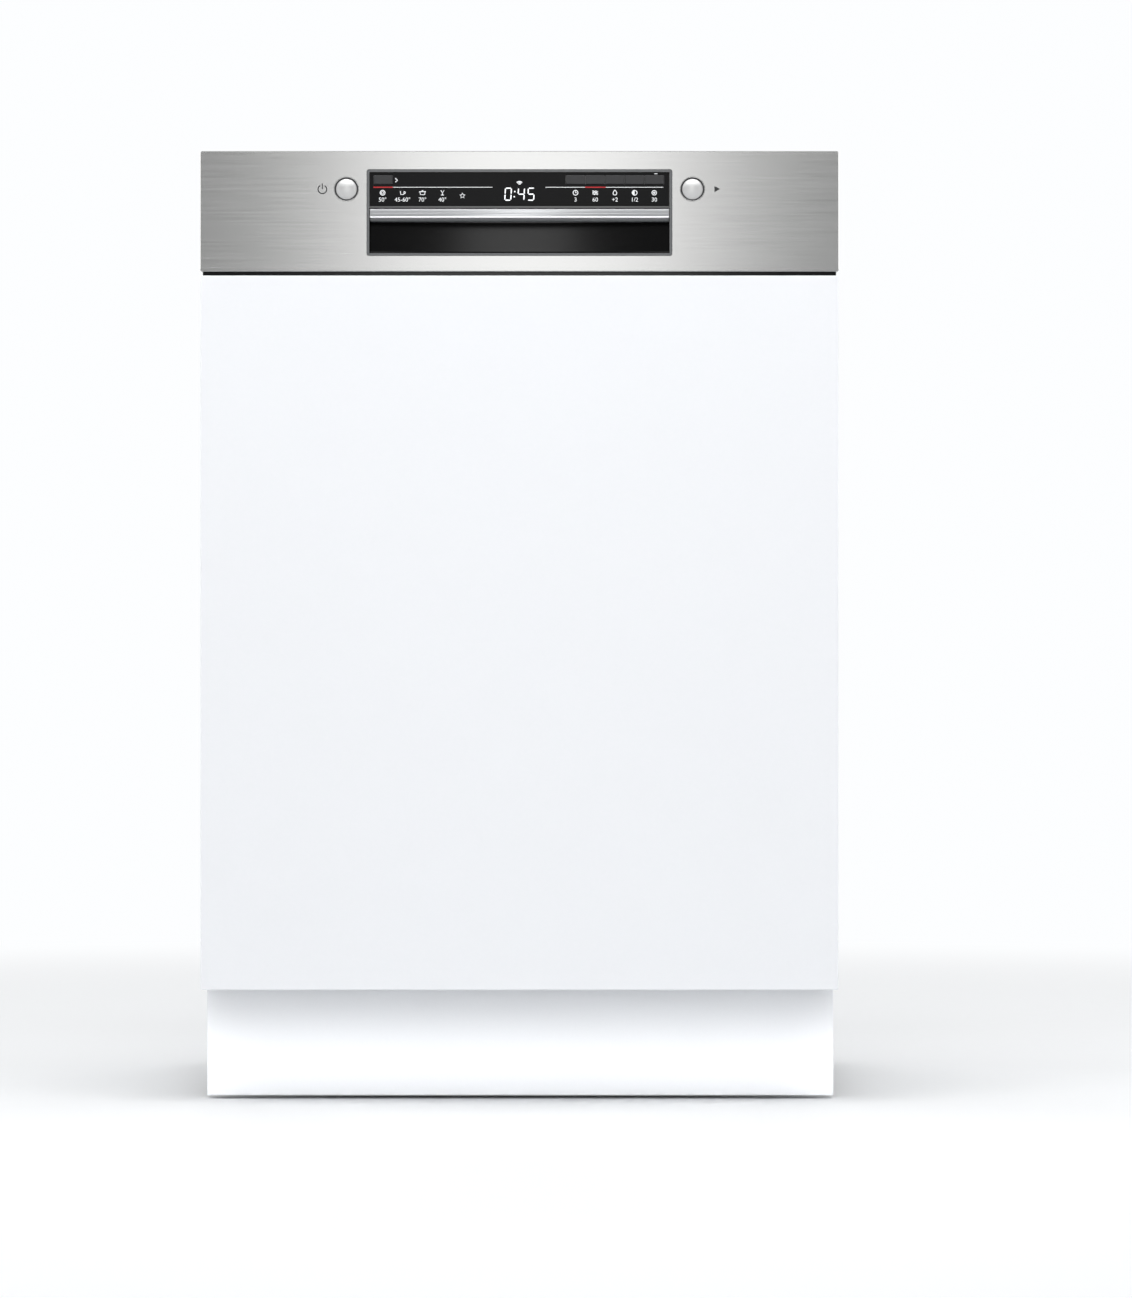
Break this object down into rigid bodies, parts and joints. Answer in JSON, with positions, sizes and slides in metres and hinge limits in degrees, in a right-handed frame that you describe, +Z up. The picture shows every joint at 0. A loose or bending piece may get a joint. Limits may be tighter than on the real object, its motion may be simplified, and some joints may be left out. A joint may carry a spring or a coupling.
{
  "type": "built in dishwasher",
  "caption": "Built in dishwasher with a steel control fascia, a furniture front on the hinged door, two pull-out racks, spray arms, base and plinth.",
  "frame": {"origin": "on the floor under the middle of the bounding box", "axes": "+X to the right and +Y to the rear as seen from the kitchen in front of the door, +Z up"},
  "size_m": [0.597, 0.575, 0.895],
  "materials": {
    "fascia_steel": "brushed",
    "tub_steel": "satin",
    "zinc_steel": "satin",
    "door_steel": "satin",
    "white_lacquer": "satin",
    "black_housing": "matte",
    "gloss_black": "gloss",
    "display_black": "gloss",
    "silver_bar": "satin",
    "pearl_button": "gloss",
    "key_grey": "satin",
    "grey_plastic": "matte",
    "white_plastic": "matte",
    "base_black": "matte",
    "seal_rubber": "matte",
    "insulation_felt": "matte",
    "coated_wire": "satin",
    "spring_steel": "satin"
  },
  "bodies": {
    "cabinet": {"base_tray": "base_black", "plinth_panel": "white_lacquer", "side_panel_right": "zinc_steel", "side_panel_left": "zinc_steel", "rear_panel": "zinc_steel", "top_crossbar": "zinc_steel", "insulation_hood": "insulation_felt", "heat_exchanger": "white_plastic", "tub_shell": "tub_steel", "tub_floor": "grey_plastic", "door_gasket": "seal_rubber", "sump": "grey_plastic", "circulation_pump": "white_plastic", "drain_pump": "base_black", "water_softener": "white_plastic", "filter_plate": "tub_steel", "riser_pipe": "grey_plastic", "upper_rail_right": "tub_steel", "upper_rail_left": "tub_steel", "door_spring_right": "spring_steel", "door_spring_left": "spring_steel"},
    "door": {"fascia": "fascia_steel", "grip_surround": "gloss_black", "display_glass": "display_black", "handle_bar": "silver_bar", "control_housing": "black_housing", "door_lock": "grey_plastic", "outer_door_plate": "door_steel", "furniture_panel": "white_lacquer", "door_liner": "tub_steel", "dispenser_body": "grey_plastic", "hinge_arm_right": "zinc_steel", "hinge_arm_left": "zinc_steel"},
    "power_button": {"power_button": "pearl_button"},
    "start_button": {"start_button": "pearl_button"},
    "program_key": {"program_key": "key_grey"},
    "detergent_lid": {"detergent_lid": "grey_plastic"},
    "rinse_aid_lid": {"rinse_aid_lid": "grey_plastic"},
    "lower_spray_arm": {"lower_spray_arm": "grey_plastic"},
    "upper_spray_arm": {"upper_spray_arm": "grey_plastic"},
    "filter_cylinder": {"filter_cylinder": "grey_plastic"},
    "salt_cap": {"salt_cap": "grey_plastic"},
    "foot_front_left": {"foot_front_left": "base_black"},
    "foot_front_right": {"foot_front_right": "base_black"},
    "foot_rear": {"foot_rear": "base_black"},
    "lower_rack": {"lower_rack": "coated_wire"},
    "lower_tines_front": {"lower_tines_front": "coated_wire"},
    "lower_tines_back": {"lower_tines_back": "coated_wire"},
    "cutlery_basket": {"cutlery_basket": "grey_plastic"},
    "upper_rack": {"upper_rack": "coated_wire"},
    "cup_shelf": {"cup_shelf": "grey_plastic"},
    "option_key_1": {"option_key_1": "key_grey"},
    "option_key_2": {"option_key_2": "key_grey"},
    "option_key_3": {"option_key_3": "key_grey"},
    "option_key_4": {"option_key_4": "key_grey"},
    "option_key_5": {"option_key_5": "key_grey"},
    "rack_wheel_front_left": {"rack_wheel_front_left": "grey_plastic"},
    "rack_wheel_front_right": {"rack_wheel_front_right": "grey_plastic"},
    "rack_wheel_rear_left": {"rack_wheel_rear_left": "grey_plastic"},
    "rack_wheel_rear_right": {"rack_wheel_rear_right": "grey_plastic"}
  },
  "joints": [
    {"name": "door_hinge", "type": "hinge", "parent": "cabinet", "child": "door", "pos_m": [0, -0.2375, 0.15], "axis": [1, 0, 0], "range_deg": [0, 90], "stiffness_Nm_per_rad": 28, "deforming": ["door_spring_right", "door_spring_left"]},
    {"name": "power_button_press", "type": "slide", "parent": "door", "child": "power_button", "axis": [0, 1, 0], "range_m": [0, 0.0018], "stiffness_N_per_m": 700},
    {"name": "start_button_press", "type": "slide", "parent": "door", "child": "start_button", "axis": [0, 1, 0], "range_m": [0, 0.0018], "stiffness_N_per_m": 700},
    {"name": "program_key_press", "type": "slide", "parent": "door", "child": "program_key", "axis": [0, 1, 0], "range_m": [0, 0.0008], "stiffness_N_per_m": 700},
    {"name": "option_key_1_press", "type": "slide", "parent": "door", "child": "option_key_1", "axis": [0, 1, 0], "range_m": [0, 0.0008], "stiffness_N_per_m": 700},
    {"name": "option_key_2_press", "type": "slide", "parent": "door", "child": "option_key_2", "axis": [0, 1, 0], "range_m": [0, 0.0008], "stiffness_N_per_m": 700},
    {"name": "option_key_3_press", "type": "slide", "parent": "door", "child": "option_key_3", "axis": [0, 1, 0], "range_m": [0, 0.0008], "stiffness_N_per_m": 700},
    {"name": "option_key_4_press", "type": "slide", "parent": "door", "child": "option_key_4", "axis": [0, 1, 0], "range_m": [0, 0.0008], "stiffness_N_per_m": 700},
    {"name": "option_key_5_press", "type": "slide", "parent": "door", "child": "option_key_5", "axis": [0, 1, 0], "range_m": [0, 0.0008], "stiffness_N_per_m": 700},
    {"name": "detergent_lid_slide", "type": "slide", "parent": "door", "child": "detergent_lid", "axis": [0, 0, 1], "range_m": [0, 0.066]},
    {"name": "rinse_aid_lid_hinge", "type": "hinge", "parent": "door", "child": "rinse_aid_lid", "pos_m": [0.0825, -0.1999, 0.421], "axis": [-1, 0, 0], "range_deg": [0, 110]},
    {"name": "lower_spray_arm_spin", "type": "hinge", "parent": "cabinet", "child": "lower_spray_arm", "pos_m": [0, 0.0295, 0.208], "axis": [0, 0, 1], "continuous": true},
    {"name": "upper_spray_arm_spin", "type": "hinge", "parent": "upper_rack", "child": "upper_spray_arm", "pos_m": [0, 0.0295, 0.564], "axis": [0, 0, 1], "continuous": true},
    {"name": "filter_cylinder_turn", "type": "hinge", "parent": "cabinet", "child": "filter_cylinder", "pos_m": [0.09, -0.0505, 0.15], "axis": [0, 0, 1], "range_deg": [0, 90]},
    {"name": "salt_cap_turn", "type": "hinge", "parent": "cabinet", "child": "salt_cap", "pos_m": [-0.18, -0.0205, 0.189], "axis": [0, 0, 1], "range_deg": [0, 360]},
    {"name": "foot_front_left_screw", "type": "slide", "parent": "cabinet", "child": "foot_front_left", "axis": [0, 0, 1], "range_m": [-0.03, 0.026]},
    {"name": "foot_front_right_screw", "type": "slide", "parent": "cabinet", "child": "foot_front_right", "axis": [0, 0, 1], "range_m": [-0.03, 0.026]},
    {"name": "foot_rear_screw", "type": "slide", "parent": "cabinet", "child": "foot_rear", "axis": [0, 0, 1], "range_m": [-0.03, 0.026]},
    {"name": "lower_rack_slide", "type": "slide", "parent": "cabinet", "child": "lower_rack", "axis": [0, -1, 0], "range_m": [0, 0.01]},
    {"name": "rack_wheel_front_left_roll", "type": "hinge", "parent": "lower_rack", "child": "rack_wheel_front_left", "pos_m": [-0.2575, -0.1255, 0.2153], "axis": [1, 0, 0], "range_deg": [0, 32]},
    {"name": "rack_wheel_front_right_roll", "type": "hinge", "parent": "lower_rack", "child": "rack_wheel_front_right", "pos_m": [0.2575, -0.1255, 0.2153], "axis": [1, 0, 0], "range_deg": [0, 32]},
    {"name": "rack_wheel_rear_left_roll", "type": "hinge", "parent": "lower_rack", "child": "rack_wheel_rear_left", "pos_m": [-0.2575, 0.1945, 0.2153], "axis": [1, 0, 0], "range_deg": [0, 32]},
    {"name": "rack_wheel_rear_right_roll", "type": "hinge", "parent": "lower_rack", "child": "rack_wheel_rear_right", "pos_m": [0.2575, 0.1945, 0.2153], "axis": [1, 0, 0], "range_deg": [0, 32]},
    {"name": "lower_tines_front_fold", "type": "hinge", "parent": "lower_rack", "child": "lower_tines_front", "pos_m": [0, -0.1155, 0.23116], "axis": [-1, 0, 0], "range_deg": [0, 85]},
    {"name": "lower_tines_back_fold", "type": "hinge", "parent": "lower_rack", "child": "lower_tines_back", "pos_m": [0, -0.0255, 0.23116], "axis": [-1, 0, 0], "range_deg": [0, 85]},
    {"name": "cutlery_basket_lift", "type": "slide", "parent": "lower_rack", "child": "cutlery_basket", "axis": [0, 0, 1], "range_m": [0, 0.09]},
    {"name": "upper_rack_slide", "type": "slide", "parent": "cabinet", "child": "upper_rack", "axis": [0, -1, 0], "range_m": [0, 0.01]},
    {"name": "cup_shelf_fold", "type": "hinge", "parent": "upper_rack", "child": "cup_shelf", "pos_m": [-0.23128, 0.0315, 0.64], "axis": [0, 1, 0], "range_deg": [0, 90]}
  ],
  "couplings": [
    {"joint": "rack_wheel_front_left_roll", "follows": "lower_rack_slide", "rad_per_m": 55.556},
    {"joint": "rack_wheel_front_right_roll", "follows": "lower_rack_slide", "rad_per_m": 55.556},
    {"joint": "rack_wheel_rear_left_roll", "follows": "lower_rack_slide", "rad_per_m": 55.556},
    {"joint": "rack_wheel_rear_right_roll", "follows": "lower_rack_slide", "rad_per_m": 55.556}
  ]
}
